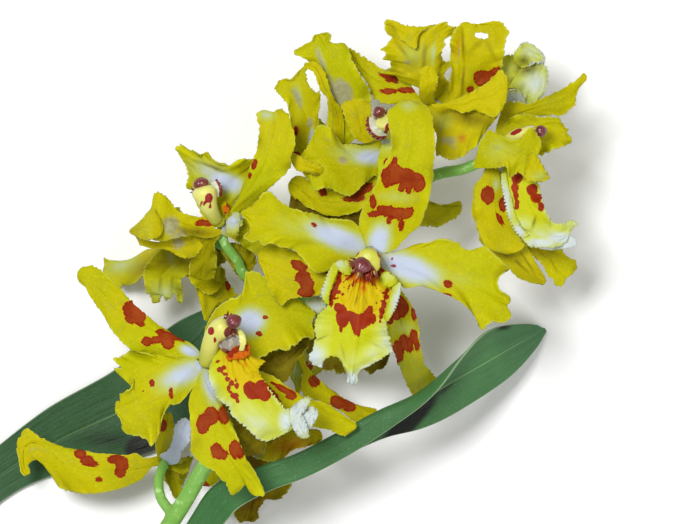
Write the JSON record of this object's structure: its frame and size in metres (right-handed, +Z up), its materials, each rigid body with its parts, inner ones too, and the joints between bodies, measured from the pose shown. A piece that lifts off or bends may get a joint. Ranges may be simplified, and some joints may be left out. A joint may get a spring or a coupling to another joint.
{
  "type": "cut orchid flower spray",
  "caption": "Cut spray of a yellow orchid with red-brown blotches: spotted blooms on a branching green spike, with two strap leaves, laid flat on a surface.",
  "frame": {"origin": "middle of the outline seen from above, on the surface that the spray lies on", "axes": "+Z up from the surface towards the viewer, +Y towards the flowering tip, +X to the right of the picture"},
  "size_m": [0.1754, 0.1808, 0.0626],
  "materials": {
    "spike": "smooth waxy green plant stem, paler where the light strikes it",
    "leaf": "satin dark green strap leaf with fine lengthwise veins and a pale edge",
    "tepals": "matte yellow petal with red-brown blotches and a blue-white base",
    "lip": "matte golden yellow with dark red marks and a white fringed edge",
    "column": "smooth pale yellow with small red marks",
    "cap": "glossy purple-brown"
  },
  "bodies": {
    "root": {"spike_stem": "spike", "leaf_back": "leaf", "leaf_front": "leaf", "bloom_a_tepals": "tepals", "bloom_a_lip": "lip", "bloom_a_column": "column", "bloom_a_anther_cap": "cap", "bloom_b_tepals": "tepals", "bloom_b_lip": "lip", "bloom_b_column": "column", "bloom_b_anther_cap": "cap", "bloom_c_tepals": "tepals", "bloom_c_lip": "lip", "bloom_c_column": "column", "bloom_c_anther_cap": "cap", "bloom_d_tepals": "tepals", "bloom_d_lip": "lip", "bloom_d_column": "column", "bloom_d_anther_cap": "cap", "bloom_e_tepals": "tepals", "bloom_e_lip": "lip", "bloom_e_column": "column", "bloom_e_anther_cap": "cap", "bloom_f_tepals": "tepals", "bloom_f_lip": "lip", "bloom_f_column": "column", "bloom_f_anther_cap": "cap", "bloom_g_tepals": "tepals", "bloom_g_lip": "lip", "bloom_g_column": "column", "bloom_g_anther_cap": "cap", "bloom_h_tepals": "tepals", "bloom_h_lip": "lip", "bloom_h_column": "column", "bloom_h_anther_cap": "cap", "bloom_j_tepals": "tepals", "bloom_j_lip": "lip", "bloom_j_column": "column", "bloom_j_anther_cap": "cap", "bloom_k_tepals": "tepals", "bloom_k_lip": "lip", "bloom_k_column": "column", "bloom_k_anther_cap": "cap", "bloom_m_tepals": "tepals", "bloom_m_lip": "lip", "bloom_m_column": "column", "bloom_m_anther_cap": "cap"}
  },
  "joints": []
}
